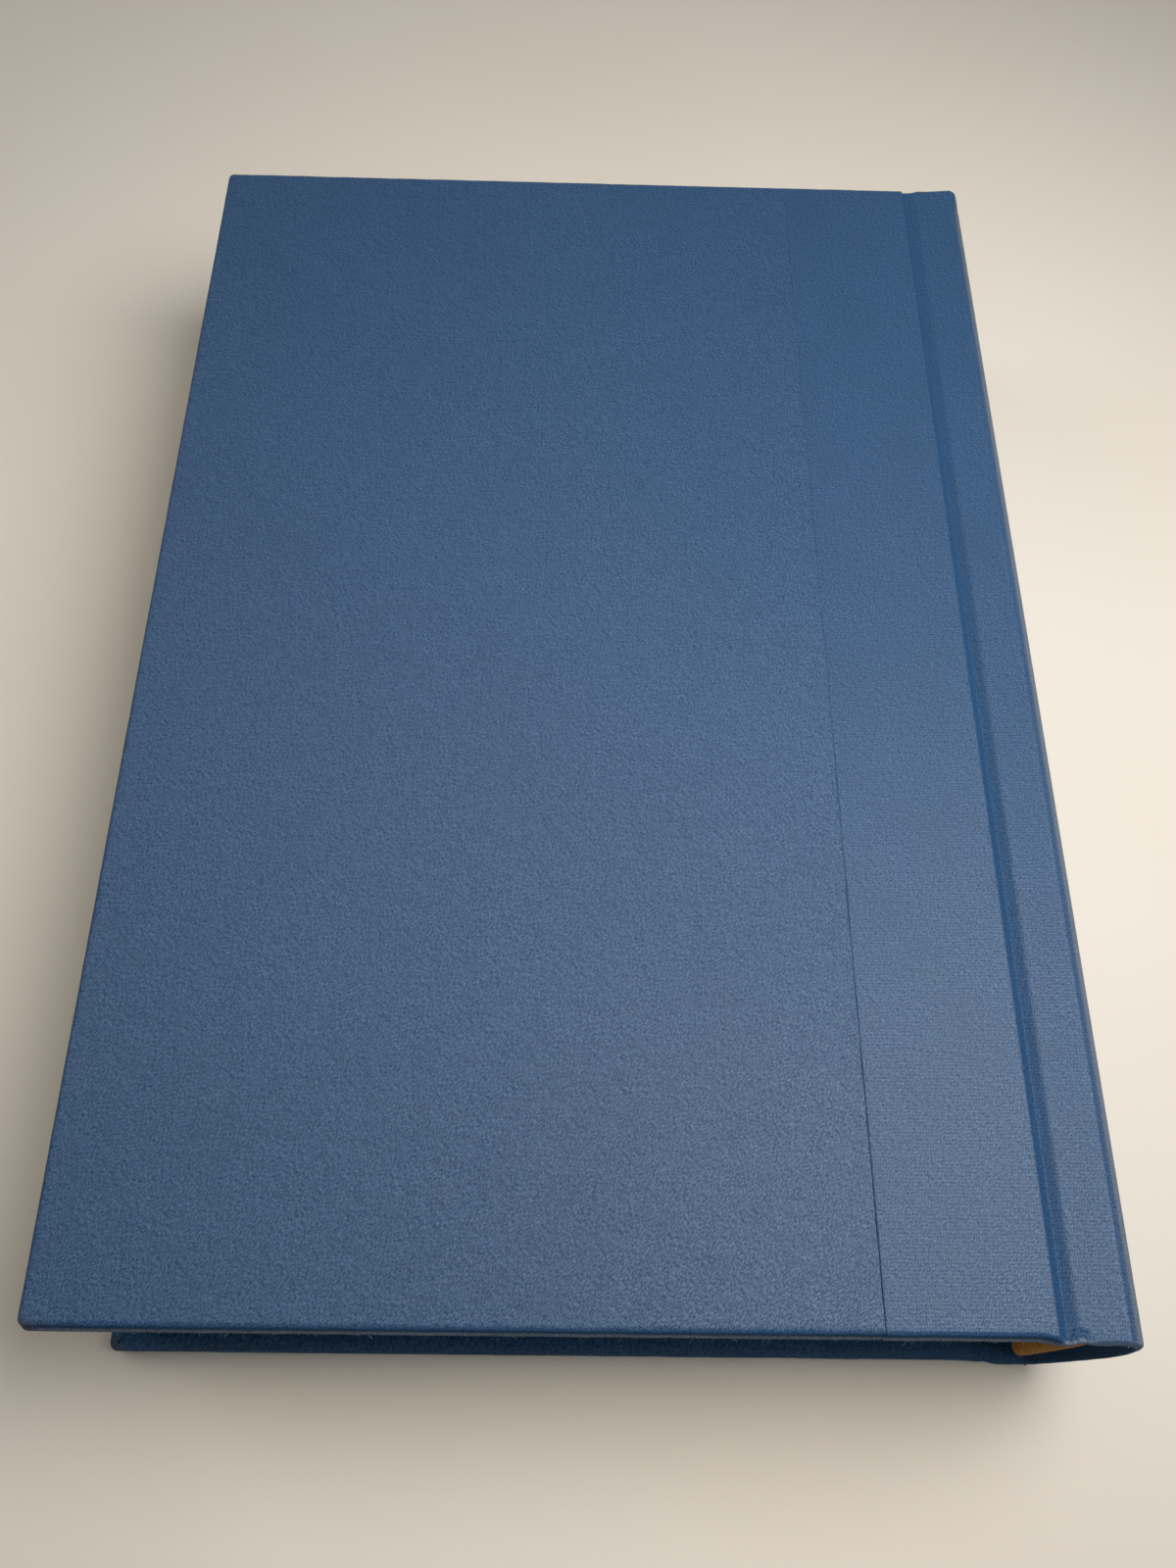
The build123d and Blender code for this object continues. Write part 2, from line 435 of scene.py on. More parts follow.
for end, node in ((-1, "tail_band"), (1, "head_band")):
    band_low, band_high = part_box(node)
    band_half = (band_high.z - band_low.z) / 2 - BAND_BEAD
    core_radius = back_radius - BAND_BEAD - THREAD
    core_y = (band_high.y - BAND_BEAD - THREAD) if end > 0 else (band_low.y + BAND_BEAD + THREAD)
    reach = math.asin(band_half / core_radius)
    arc = []
    for i in range(BAND_STEPS + 1):
        angle = reach * (2 * i / BAND_STEPS - 1)
        core_x = back_centre + core_radius * math.cos(angle)
        arc.append((core_x, core_y, mid_z + core_radius * math.sin(angle)))
    values = {"Bead": BAND_BEAD, "Thread": THREAD, "Pitch": THREAD_PITCH, "Finish": band_finish}
    band = grow(node.replace("_", "_end_") + "_thread", arc, band_tree, values)
    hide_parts(node)
    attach(band, "book_block")


# Endpapers: one folded sheet of smooth off-white paper at each cover.
# One leaf is pasted on the board over the turn-ins, whose edges show through as low steps,
# and the other lies free on the pages, joined to it by a rounded fold.
ENDPAPER = 0.16 * MM
TURN_IN = 14.0 * MM
PASTED_LEVEL = 3.40 * MM
BOARD_LEVEL = 3.08 * MM
FREE_LEVEL = 3.60 * MM
STEP_WIDTH = 1.2 * MM
LEAF_SPACING = 8 * MM
FOLD_STEPS = 16
FOLD_SET_BACK = 0.1 * MM
BEND_MARGIN = 0.02 * MM

case_top = cad_box[1].z
cover_low, cover_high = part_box("back_side_paper")
seam = cover_high.x
cover_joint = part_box("back_cloth_lap")[1].x
fore_edge = cover_low.x
tail_edge = cover_low.y
head_edge = cover_high.y

endpaper_finish, wire = new_finish("smooth endpaper")
place = object_place(wire)
tooth = place.grain(0.3 * MM, 3.0, 0.6)
cloud = place.grain(30 * MM, 3.0)
endpaper_colour = (cloud.between(0.3, 0.8) * 0.35).mix(paint(237, 232, 217), paint(229, 221, 202))
endpaper_colour = (tooth.between(0.55, 0.8) * 0.3).mix(endpaper_colour, paint(214, 206, 188))
surface(wire, endpaper_colour, 0.7 + tooth * 0.15, tooth, 0.03 * MM, 0.4)


def at_depth(side, depth):
    """The height of a place that deep under a cover's outer face."""
    return case_top - depth if side == "back" else depth


def pasted_depth(x, y):
    """How deep the pasted leaf lies: on the turn-ins, or lower on the bare board between them."""
    inside = min(x - fore_edge, y - tail_edge, head_edge - y) - TURN_IN
    return PASTED_LEVEL + (BOARD_LEVEL - PASTED_LEVEL) * smooth(0.0, STEP_WIDTH, inside)


def stations(low, high, breaks, spacing):
    """Places from low to high, about spacing apart, with close ones around each break."""
    shares = (-0.3, 0.0, 0.25, 0.5, 0.75, 1.0, 1.3)
    near = [b + STEP_WIDTH * share for b in breaks for share in shares]
    count = max(1, round((high - low) / spacing))
    even = [low + (high - low) * i / count for i in range(count + 1)]
    kept = [e for e in even if e in (low, high) or all(abs(e - n) > 0.4 * spacing for n in near)]
    return sorted(kept + near)


def thicken(piece, thickness, offset):
    """Makes a sheet that thick: on both sides of its mesh at 0, and on the inside at -1."""
    modifier = piece.modifiers.new("thickness", "SOLIDIFY")
    modifier.thickness = thickness
    modifier.offset = offset


fold_x = shoulder_start - FOLD_SET_BACK
fold_radius = (FREE_LEVEL - PASTED_LEVEL) / 2
leaf_columns = stations(page_low.x, fold_x, [fore_edge + TURN_IN], LEAF_SPACING)
row_breaks = [tail_edge + TURN_IN, head_edge - TURN_IN - STEP_WIDTH]
leaf_rows = stations(page_low.y, page_high.y, row_breaks, LEAF_SPACING)
for side in ("back", "front"):
    points, faces = [], []
    for y in leaf_rows:
        points += [(x, y, at_depth(side, FREE_LEVEL)) for x in leaf_columns]
        for i in range(1, FOLD_STEPS):
            angle = math.pi * i / FOLD_STEPS
            depth = FREE_LEVEL - fold_radius * (1 - math.cos(angle))
            points.append((fold_x + fold_radius * math.sin(angle), y, at_depth(side, depth)))
        points += [(x, y, at_depth(side, pasted_depth(x, y))) for x in reversed(leaf_columns)]
    across = len(points) // len(leaf_rows)
    for j in range(len(leaf_rows) - 1):
        for i in range(across - 1):
            a = j * across + i
            quad = (a, a + 1, a + across + 1, a + across)
            faces.append(quad if side == "back" else quad[::-1])
    endpaper = new_piece(side + "_endpaper", points, faces, endpaper_finish)
    thicken(endpaper, ENDPAPER, 0.0)
    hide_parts(side + "_pastedown", side + "_flyleaf")
    bend_start = (fold_x, 0.0, at_depth(side, FREE_LEVEL - BEND_MARGIN))
    bend_end = (fold_x, 0.0, at_depth(side, PASTED_LEVEL + BEND_MARGIN))
    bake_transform(endpaper)


# Cloth: one piece of blue book cloth over the spine card, pressed into a groove beside each
# board and lapped on to it under the side paper, with its ends turned in at head and tail.
# It is made as two halves that meet along the middle of the spine, one for each hinge.
# Painted light on the cloth: a painted highlight in its glaze along the spine's ridge, and painted shade
# in the groove, which darkens its colour and cuts its glaze.
CLOTH = 0.22 * MM
COVER_DEPTH = 3.3 * MM
OUTER_ROUND = 0.9 * MM
INNER_ROUND = 0.4 * MM
EDGE_LEAN = 0.42 * MM
EDGE_STEPS = 6
WORN_HEIGHT = 0.75 * MM
WORN_WIDTH = 0.5 * MM
SIZE_ROUGHNESS = 0.42

RIB_PITCH = 0.52 * MM
THREAD_GAP = 0.41 * MM
THREAD_SHIFT = 0.3 * MM

SURFACE = 0.03 * MM
CREVICE = 0.30 * MM
SEAM_SLANT = 1.2 * MM
SEAM_CLOSED = 0.13 * MM
LAP_STEPS = 16
GROOVE_END = 3.6 * MM
GROOVE_FLOOR = 0.45 * MM
SPINE_ROUND = 7.3 * MM
RIDGE_DROP = 0.4 * MM
SPINE_STEPS = 26
END_ROWS = 20 * MM
MIDDLE_STEPS = 78

HEM = 0.95 * MM
SPINE_HEM = 1.5 * MM
SHORT_TURN_IN = 2.8 * MM
CAP_FLARE = 0.65 * MM

# The wrinkles are arcs round the groove's end: radius, width and strength of each
WRINKLE_CENTRE = (3.2 * MM, 0.55 * MM)
WRINKLES = ((1.35 * MM, 0.20 * MM, 1.0), (0.72 * MM, 0.17 * MM, 0.8))
WRINKLE_HEIGHT = 0.32 * MM

cloth_finish, wire = new_finish("ribbed blue book cloth")
weave = wire.node("ShaderNodeUVMap", {"uv_map": "weave"}, {})
slub = weave.grain(0.17 * MM, 2.0, 0.6, 0.0, 3.0)
warp = weave.grain(0.17 * MM, 2.0, 0.6, 90.0, 2.6)
nap = weave.grain(0.16 * MM, 2.0, 0.65)
strokes = weave.grain(0.15 * MM, 0.0, 0.5, 44.0, 4.0)
crossed = weave.grain(0.15 * MM, 0.0, 0.5, 70.0, 3.0)
brushed = strokes * 0.55 + crossed * 0.45
rib = (weave.axis("Y") + (slub - 0.5) * THREAD_SHIFT).wave(RIB_PITCH)
thread = (weave.axis("X") + (warp - 0.5) * THREAD_SHIFT).wave(THREAD_GAP)
cloud = weave.grain(14 * MM, 2.0)
fray = weave.grain(0.35 * MM, 3.0, 0.7)
pressed_and_shaded = attribute(wire, "pressed_and_shaded")
worn = attribute(wire, "worn")
glaze_with_painted_sheen = attribute(wire, "glaze_with_painted_sheen")
weave_height = rib * 0.09 + thread * 0.07 + slub * 0.30 + warp * 0.25 + nap * 0.30 + brushed * 0.55
weave_height = weave_height * (1.0 - pressed_and_shaded * 0.6)
cloth_shade = rib * 0.04 + thread * 0.04 + slub * 0.17 + warp * 0.13 + nap * 0.16 + brushed * 0.46
cloth_light = cloth_shade.between(0.41, 0.59)
cloth_colour = cloth_light.mix(paint(33, 65, 100), paint(62, 97, 137))
cloth_colour = (cloud.between(0.35, 0.75) * 0.25).mix(cloth_colour, paint(42, 74, 107))
# Painted shade: the colour darkens in the groove, where the cloth is pressed in.
cloth_colour = (pressed_and_shaded * 0.2).mix(cloth_colour, paint(32, 63, 100))
cloth_colour = (worn * fray.between(0.30, 0.60) * 0.9).mix(cloth_colour, paint(142, 152, 168))
# The glaze's weight carries painted light from the points: a painted highlight on the spine's ridge,
# painted shade in the groove, and none round the edges.
cloth_size = glaze_with_painted_sheen * (0.345 + cloth_light * 0.43)
cloth_rough = 0.75 + nap * 0.2
surface(wire, cloth_colour, cloth_rough, weave_height, 0.11 * MM, 0.0, cloth_size, SIZE_ROUGHNESS)


def edge_profile(thickness, reach):
    """(inset, depth) pairs from a cover's outer face, round its edge, to the turn-in's end."""
    outer = min(OUTER_ROUND, thickness * 0.42)
    inner = min(INNER_ROUND, thickness * 0.3)
    lean = EDGE_LEAN * thickness / COVER_DEPTH
    fold = thickness - inner
    leaning = ((0.95, 0.70), (0.75, 0.79), (0.40, 0.88), (0.12, 0.96))
    turns = [math.pi / 2 * i / EDGE_STEPS for i in range(EDGE_STEPS + 1)]
    profile = [(lean + outer * (1 - math.sin(a)), outer * (1 - math.cos(a))) for a in turns]
    profile += [(lean * out, fold * down) for out, down in leaning]
    profile += [(inner * (1 - math.cos(a)), fold + inner * math.sin(a)) for a in turns]
    profile += [(inner + (reach - inner) * share, thickness) for share in (0.12, 0.4, 1.0)]
    return profile


def bell(distance, width):
    """1 at no distance, falling away smoothly on both sides over about that width."""
    return math.exp(-((distance / width) ** 2))


def fold_wear(inset, depth, thickness):
    """How rubbed a cover's edge is: most just above its lower fold."""
    return bell(depth - thickness + WORN_HEIGHT, WORN_WIDTH) if inset < 1.0 * MM else 0.0


def rounded_path(path, passes):
    """Cuts the corners of a path a few times, which rounds it."""
    for _ in range(passes):
        cut = [path[0]]
        for (ax, ay), (bx, by) in zip(path, path[1:]):
            for share in (0.25, 0.75):
                cut.append((ax * (1 - share) + bx * share, ay * (1 - share) + by * share))
        path = cut + [path[-1]]
    return path


# The path across the cloth, as the way from the board's edge towards the spine and the depth:
# under the side paper, up through the seam, over the board, the groove, the ridge and the arc
lap = cover_joint - seam
ridge_half = mid_z - RIDGE_DROP
spine_radius = (ridge_half**2 + SPINE_ROUND**2) / (2 * SPINE_ROUND)
spine_centre = cad_box[1].x - spine_radius
ridge_angle = math.asin(ridge_half / spine_radius)
seam_shape = [
    (-0.70, CREVICE), (0.02, CREVICE), (0.05, CREVICE),
    (0.10, CREVICE / 2), (0.14, 2 * SURFACE), (0.20, SURFACE),
]
groove_shape = [
    (-0.9, 0.03), (-0.35, 0.03), (-0.08, 0.10), (0.15, 0.34), (0.60, 0.74), (1.05, 1.08), (1.32, 1.18),
    (1.62, 1.12), (1.95, 0.98), (2.35, 0.80), (2.75, 0.64), (3.25, 0.53), (3.70, 0.49), (4.20, 0.46),
    (5.60, 0.43), (7.00, 0.43), (8.20, 0.42), (9.00, 0.38), (9.70, 0.35), (10.20, 0.37), (10.42, 0.45),
]
groove_path = [(offset * MM, depth * MM) for offset, depth in groove_shape]
spine_path = []
for i in (*range(SPINE_STEPS), SPINE_STEPS - 0.03, SPINE_STEPS):
    angle = 0.97 * ridge_angle * (1 - i / SPINE_STEPS)
    offset = spine_centre + spine_radius * math.cos(angle) - cover_joint
    spine_path.append((offset, mid_z - spine_radius * math.sin(angle)))
lap_start = -lap + 0.5 * MM
path = [(-lap + offset * MM, depth) for offset, depth in seam_shape]
path += [(lap_start + (lap - 1.9 * MM) * i / LAP_STEPS, SURFACE) for i in range(LAP_STEPS + 1)]
path += rounded_path(groove_path + spine_path[:2], 2)
path += spine_path[2:]
steps = [math.dist(a, b) for a, b in zip(path, path[1:])]
path_length = [sum(steps[:i]) for i in range(len(path))]

# Rows along the spine: close ones at each end, in millimetres from the fold, and even ones between
row_steps = [0.08 + 0.11 * i for i in range(22)] + [2.7, 3.1, 3.6, 4.2, 5.0, 6.0, 7.4, 9.4, 12.0, 15.0]
middle_run = head_edge - tail_edge - 2 * END_ROWS
middle_rows = [tail_edge + END_ROWS + middle_run * i / MIDDLE_STEPS for i in range(MIDDLE_STEPS + 1)]


def cloth_column(index, side):
    """One thread of cloth along the spine: its places, weave places, press with painted shade, wear, and
    glaze with painted sheen.
    """
    offset, depth = path[index]
    before = path[max(index - 1, 0)]
    after = path[min(index + 1, len(path) - 1)]
    run = math.dist(before, after)

    def past(low, high):
        """0 before the first place on the way to the spine, 1 after the second, in millimetres."""
        return smooth(low * MM, high * MM, offset)

    on_spine = past(7.5, 10.5)
    inward_x = (before[1] - after[1]) / run * on_spine
    inward_z = 1 - on_spine + (after[0] - before[0]) / run * on_spine
    inward = Vector((inward_x, inward_z)).normalized()
    if offset < -0.5 * MM:
        thickness, turn_in, draw = COVER_DEPTH - 2 * depth, TURN_IN, depth
    else:
        off_board = past(-0.4, 1.2)
        hem = HEM + (SPINE_HEM - HEM) * past(3.6, 6.0)
        thickness = (COVER_DEPTH - depth) * (1 - off_board) + hem * off_board
        over_groove = past(-0.3, 0.2) * (1 - past(3.8, 4.4))
        turn_in, draw = TURN_IN + (SHORT_TURN_IN - TURN_IN) * over_groove, 0.0
    in_groove = past(-0.2, 0.3) * (1 - past(2.2, 3.4))
    by_groove = past(-2.6, 0.8) * (1 - past(1.6, 4.2))
    on_back = past(2.5, 5.0)
    on_cap = past(3.0, 12.0)
    creased = in_groove * (1 - 0.5 * past(1.3, 1.7))
    # Painted highlight: the glaze is raised along the spine's ridge and rounded edge, and a little lowered
    # on the back.
    ridge_highlight = past(9.2, 11.2) * (1 - past(14.0, 17.0))
    flat_top = (1 - 0.14 * on_back) * (1 + 0.6 * ridge_highlight)
    bunched = 1.0 if side == "back" else 0.15
    flare = 0.0
    if side == "back":
        flare = CAP_FLARE * past(7.0, 10.4) * (1 - smooth(0.8 * MM, 6 * MM, depth))
    slant = max(0.0, -offset / lap)
    profile = edge_profile(thickness, turn_in)
    places, weave_places, pressed_and_shaded, worn, glaze_with_painted_sheen = [], [], [], [], []

    def put(y, rise, weave_y, wear):
        """Adds a point that far inside the path. Towards the head the seam closes and the groove fills."""
        share = (y - tail_edge) / (head_edge - tail_edge)
        closed = 0.36 * MM * max(0.0, share - 0.06 + 0.12 * wander(y * 60, 4.4))
        closed = min(SEAM_CLOSED, closed) * smooth(0.4 * MM, 0.2 * MM, offset + lap)
        filled = 0.3 * bell(head_edge - y, 5 * MM) + 0.15 * bell(y - tail_edge, 3 * MM)
        filled += 0.35 * smooth(0.45, 0.95, share)
        here = depth - max(0.0, depth - GROOVE_FLOOR) * filled * in_groove
        x = cover_joint + offset - closed + inward.x * rise - slant * SEAM_SLANT * share
        x += flare * smooth(8 * MM, 0.5 * MM, head_edge - y)
        places.append((x, y, at_depth(side, here + inward.y * rise)))
        weave_places.append((path_length[index], weave_y))
        # Painted shade in the groove: the colour is darkened there and the glaze cut back. The glaze also
        # stops round the edges.
        pressed_and_shaded.append(creased * (1 - smooth(0.2 * MM, 0.8 * MM, rise)))
        worn.append(wear)
        glaze_with_painted_sheen.append(flat_top * (1 - 0.7 * creased) * (1 - smooth(0.05 * MM, 0.4 * MM, rise)))

    def crumple(inset, end):
        """Wrinkles where the cloth bunches at the end of the groove, most at the tail."""
        away = math.dist((offset, inset), WRINKLE_CENTRE)
        uneven = 0.75 + 0.5 * wander(offset * 900, inset * 900, end)
        folds = sum(share * bell(away - radius, width) for radius, width, share in WRINKLES)
        strength = (1.0 if end < 0 else 0.25) * bunched * past(1.4, 2.2)
        return -WRINKLE_HEIGHT * folds * uneven * strength

    for end in (-1, 1):
        edge_y = tail_edge if end < 0 else head_edge
        if end < 0:
            pull = -0.5 * by_groove * bunched - 0.45 * on_back
        else:
            pull = 0.35 * in_groove * bunched - 0.7 * on_cap
        pull = pull * MM + draw
        pull += 0.05 * MM * wander(offset * 420, 5.0 * end)
        pull += 0.04 * MM * wander(offset * 1500, 8.0 * end)
        fold_rows, run_length = [], 0.0
        for i, (inset, rise) in enumerate(profile):
            if i:
                run_length += math.dist(profile[i - 1], profile[i])
            weave_y = edge_y - end * (profile[0][0] - run_length)
            wear = fold_wear(inset, rise, thickness) * (1 - 0.2 * on_back)
            fold_rows.append((edge_y - end * (inset + pull), rise, weave_y, wear))
        flat_rows = []
        for step in row_steps:
            inset = profile[0][0] + step * MM
            eased = pull * bell(inset - 1.0 * MM, 3 * MM)
            y = edge_y - end * (inset + eased)
            flat_rows.append((y, crumple(inset, end), edge_y - end * inset, 0.0))
        if end < 0:
            for row in fold_rows[::-1] + flat_rows:
                put(*row)
            for y in middle_rows:
                put(y, 0.0, y, 0.0)
        else:
            for row in flat_rows[::-1] + fold_rows:
                put(*row)
    return places, weave_places, pressed_and_shaded, worn, glaze_with_painted_sheen


for side in ("back", "front"):
    columns = [cloth_column(index, side) for index in range(len(path))]
    rows = len(columns[0][0])
    points, weave_places, pressed_and_shaded, worn, glaze_with_painted_sheen = [
        [value for column in columns for value in column[kind]] for kind in range(5)
    ]
    values = {"pressed_and_shaded": pressed_and_shaded, "worn": worn, "glaze_with_painted_sheen": glaze_with_painted_sheen}
    faces = []
    for i in range(len(columns) - 1):
        for j in range(rows - 1):
            a = i * rows + j
            quad = (a, a + rows, a + rows + 1, a + 1)
            faces.append(quad if side == "back" else quad[::-1])
    cloth = new_piece(side + "_cloth", points, faces, cloth_finish, values)
    layer = cloth.data.uv_layers.new(name="weave")
    for corner in cloth.data.loops:
        layer.data[corner.index].uv = weave_places[corner.vertex_index]
    thicken(cloth, CLOTH, -1.0)
    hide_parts(side + "_cloth_lap", "spine_cloth")
    bend_start = (cover_joint + GROOVE_END, 0.0, at_depth(side, 0.0))
    bend_end = (cover_joint, 0.0, at_depth(side, 0.0))
    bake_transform(cloth)


# Side papers: matte blue cover paper with a felt-like tooth, pasted on each board over the
# edge of the cloth and turned in over the other three edges. The folds are a little bruised,
# the paper is rubbed pale along its lower fold, and the fore-edge corners are soiled.
# Its glaze carries a painted sheen: strongest at the tail by the seam, weakest higher up by the seam.
PAPER = 0.22 * MM
CORNER_ROUND = 1.65 * MM
CORNER_STEPS = 6
PAPER_SPACING = 1.5 * MM
DENT = 0.10 * MM
TAIL_SOIL = 2.4 * MM
HEAD_SOIL = 1.6 * MM

paper_finish, wire = new_finish("felted blue cover paper")
place = object_place(wire)
strokes = place.grain(0.13 * MM, 0.0, 0.5, 44.0, 4.2)
crossed = place.grain(0.13 * MM, 0.0, 0.5, 70.0, 3.2)
felt = strokes * 0.55 + crossed * 0.45
fine = place.grain(0.10 * MM, 1.0, 0.6)
mottle = place.grain(1.6 * MM, 2.0)
cloud = place.grain(26 * MM, 3.0)
hair = place.grain(0.32 * MM, 1.0, 0.5, 62.0, 5.0).between(0.70, 0.80)
speck = place.grain(0.9 * MM, 1.0).between(0.78, 0.84)
fray = place.grain(0.3 * MM, 3.0, 0.7)
worn = attribute(wire, "worn")
soiled = attribute(wire, "soiled")
glaze_with_painted_sheen = attribute(wire, "glaze_with_painted_sheen")
felt_shade = felt * 0.74 + fine * 0.20 + mottle * 0.06
felt_light = felt_shade.between(0.42, 0.58)
paper_colour = felt_light.mix(paint(33, 66, 101), paint(63, 98, 139))
paper_colour = (cloud.between(0.3, 0.75) * 0.22).mix(paper_colour, paint(44, 78, 114))
paper_colour = ((hair + speck) * 0.30).mix(paper_colour, paint(122, 142, 166))
paper_colour = (worn * fray.between(0.30, 0.60) * 0.9).mix(paper_colour, paint(146, 154, 166))
paper_colour = (soiled * fray.between(0.25, 0.65)).mix(paper_colour, paint(92, 88, 82))
paper_height = felt * 0.7 + fine * 0.3
# The glaze's weight carries the painted sheen from the points, and stops round the edges.
paper_size = glaze_with_painted_sheen * (0.36 + felt_light * 0.62)
paper_rough = 0.75 + felt * 0.2
surface(wire, paper_colour, paper_rough, paper_height, 0.17 * MM, 0.0, paper_size, SIZE_ROUGHNESS)


class Welded:
    """Points and faces of a mesh, in which points at one place are one point."""

    def __init__(self):
        self.points, self.faces, self.found = [], [], {}
        self.values = {"worn": [], "soiled": [], "glaze_with_painted_sheen": []}

    def point(self, place, worn, soiled, glaze_with_painted_sheen):
        key = tuple(round(c * 1e7) for c in place)
        if key not in self.found:
            self.found[key] = len(self.points)
            self.points.append(place)
            self.values["worn"].append(worn)
            self.values["soiled"].append(soiled)
            self.values["glaze_with_painted_sheen"].append(glaze_with_painted_sheen)
        return self.found[key]

    def face(self, corners, flip):
        kept = [c for i, c in enumerate(corners) if c != corners[i - 1]]
        if len(kept) > 2 and len(set(kept)) == len(kept):
            self.faces.append(kept[::-1] if flip else kept)


flat_fore = fore_edge + CORNER_ROUND
flat_tail = tail_edge + CORNER_ROUND
flat_head = head_edge - CORNER_ROUND
across = round((seam - flat_fore) / PAPER_SPACING)
along = round((flat_head - flat_tail) / PAPER_SPACING)
paper_x = [flat_fore + (seam - flat_fore) * i / across for i in range(across)]
paper_x += [seam - PAPER / 2, seam]
across = len(paper_x) - 1
paper_y = [flat_tail + (flat_head - flat_tail) * j / along for j in range(along + 1)]

# Each stop of the outline: a place on the flat part's border, the way out from it, and its grid place
outline = [(x, flat_tail, 0.0, -1.0, i, 0) for i, x in reversed(list(enumerate(paper_x)))]
quarter = [math.pi / 2 * i / CORNER_STEPS for i in range(1, CORNER_STEPS)]
outline += [(flat_fore, flat_tail, -math.sin(a), -math.cos(a), 0, 0) for a in quarter]
outline += [(flat_fore, y, -1.0, 0.0, 0, j) for j, y in enumerate(paper_y)]
outline += [(flat_fore, flat_head, -math.cos(a), math.sin(a), 0, along) for a in quarter]
outline += [(x, flat_head, 0.0, 1.0, i, along) for i, x in enumerate(paper_x)]


def slanted(x, y):
    """The seam isn't quite square to the head: the paper's edge leans by its share of the slant."""
    share = max(0.0, (x - flat_fore) / (seam - flat_fore))
    ragged = 0.05 * wander(y * 700, 2.2) + 0.07 * wander(y * 160, 6.1)
    lean = -SEAM_SLANT * (y - tail_edge) / (head_edge - tail_edge)
    return x + share**6 * ragged * MM + share * lean


def painted_paper_sheen(x, y):
    """Painted sheen on the paper's glaze: most at the tail by the seam, least further up."""
    more = 0.3 * smooth(-40 * MM, 45 * MM, x) * smooth(-35 * MM, -115 * MM, y)
    less = 0.18 * smooth(-15 * MM, 40 * MM, x) * smooth(-30 * MM, 30 * MM, y)
    return 1 + more - less


def paper_place(stop, inset, depth, side):
    """A point of the folded paper, with its bruises."""
    x, y, out_x, out_y = stop[:4]
    reach = CORNER_ROUND - inset
    if reach >= 0:
        x, y = x + out_x * reach, y + out_y * reach
    else:
        y = min(max(y, tail_edge + inset), head_edge - inset) if out_x else y
        x = max(x, fore_edge + inset)
        if out_y:
            y = tail_edge + inset if out_y < 0 else head_edge - inset
        if out_x:
            x = fore_edge + inset
    fold = smooth(2.2 * MM, 0.6 * MM, inset)
    salt = 3.0 if side == "back" else 11.0
    bruise = 0.5 * wander(x * 240, y * 240, salt) + 0.35 * wander(x * 640, y * 640, salt)
    bruise += 0.25 * wander(x * 90, y * 90, salt)
    push = (0.06 + 0.10 * bruise) * fold * MM
    x -= out_x * push
    y -= out_y * push
    dent = DENT * max(0.0, wander(x * 330, y * 330, salt + 4.0)) * fold
    dent *= 1 - smooth(0.0, 1.2 * MM, depth)
    return slanted(x, y), y, at_depth(side, depth + dent)


for side in ("back", "front"):
    paper = Welded()
    flip = side == "front"
    grid = {}
    for i, x in enumerate(paper_x):
        for j, y in enumerate(paper_y):
            spot = (slanted(x, y), y, at_depth(side, 0.0))
            # Painted sheen on the flat of the paper.
            grid[i, j] = paper.point(spot, 0.0, 0.0, painted_paper_sheen(x, y))
    for i in range(across):
        for j in range(along):
            paper.face((grid[i, j], grid[i + 1, j], grid[i + 1, j + 1], grid[i, j + 1]), flip)
    inner_ring = [grid[stop[4], stop[5]] for stop in outline]
    for inset, depth in edge_profile(COVER_DEPTH, TURN_IN):
        low_fold = fold_wear(inset, depth, COVER_DEPTH)
        face = 1 - smooth(0.05 * MM, 0.4 * MM, depth)
        ring = []
        for stop in outline:
            spot = paper_place(stop, inset, depth, side)
            at_tail = bell(math.dist(spot[:2], (fore_edge, tail_edge)), TAIL_SOIL)
            at_head = bell(math.dist(spot[:2], (fore_edge, head_edge)), HEAD_SOIL)
            ring.append(paper.point(spot, low_fold, max(at_tail, 0.6 * at_head), face))
        for s in range(len(outline) - 1):
            paper.face((inner_ring[s], inner_ring[s + 1], ring[s + 1], ring[s]), flip)
        inner_ring = ring
    sheet = new_piece(side + "_paper", paper.points, paper.faces, paper_finish, paper.values)
    thicken(sheet, PAPER, -1.0)
    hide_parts(side + "_side_paper")
    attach(sheet, side + "_cover")


# Loose fibres: paper and cloth rubbed along the lower folds shed short pale hairs.
# They are the same stuff as the covering, a few hundredths of a millimetre thick.
FIBRE = 0.028 * MM
FIBRE_LENGTH = 0.9 * MM
FIBRE_RIM = 0.06 * MM
FIBRE_DEPTH = 0.92 * COVER_DEPTH
SCATTER_LOW = (-0.9 * MM, -0.12 * MM, -0.25 * MM)
SCATTER_HIGH = (0.9 * MM, 0.12 * MM, 0.2 * MM)
TURN_LOW = (-2.6, -2.2, -3.1)
TURN_HIGH = (2.6, 2.2, 3.1)

# Where they grow: the cover, its edge, the gap between fibres in millimetres, and the seed
FIBRE_RUNS = (
    ("back", "tail", 0.55, 3), ("back", "fore", 2.6, 5), ("back", "head", 2.6, 7),
    ("front", "tail", 3.4, 9), ("front", "fore", 3.4, 11), ("front", "head", 3.4, 13),
)

fibre_finish, wire = new_finish("rubbed fibre")
place = object_place(wire)
tint = place.grain(3 * MM, 1.0)
fibre_colour = tint.between(0.35, 0.65).mix(paint(104, 120, 144), paint(176, 184, 194))
surface(wire, fibre_colour, 0.75 + tint * 0.1, tint, 0.01 * MM, 0.3)

wires = new_tree("rubbed fold", ("Gap", "Length", "Thickness", "Seed"))
fold_line = wires["Geometry"].node("GeometryNodeMeshToCurve", {}, {"Mesh": wires["Geometry"]})
roots = points_along(fold_line, wires["Gap"])


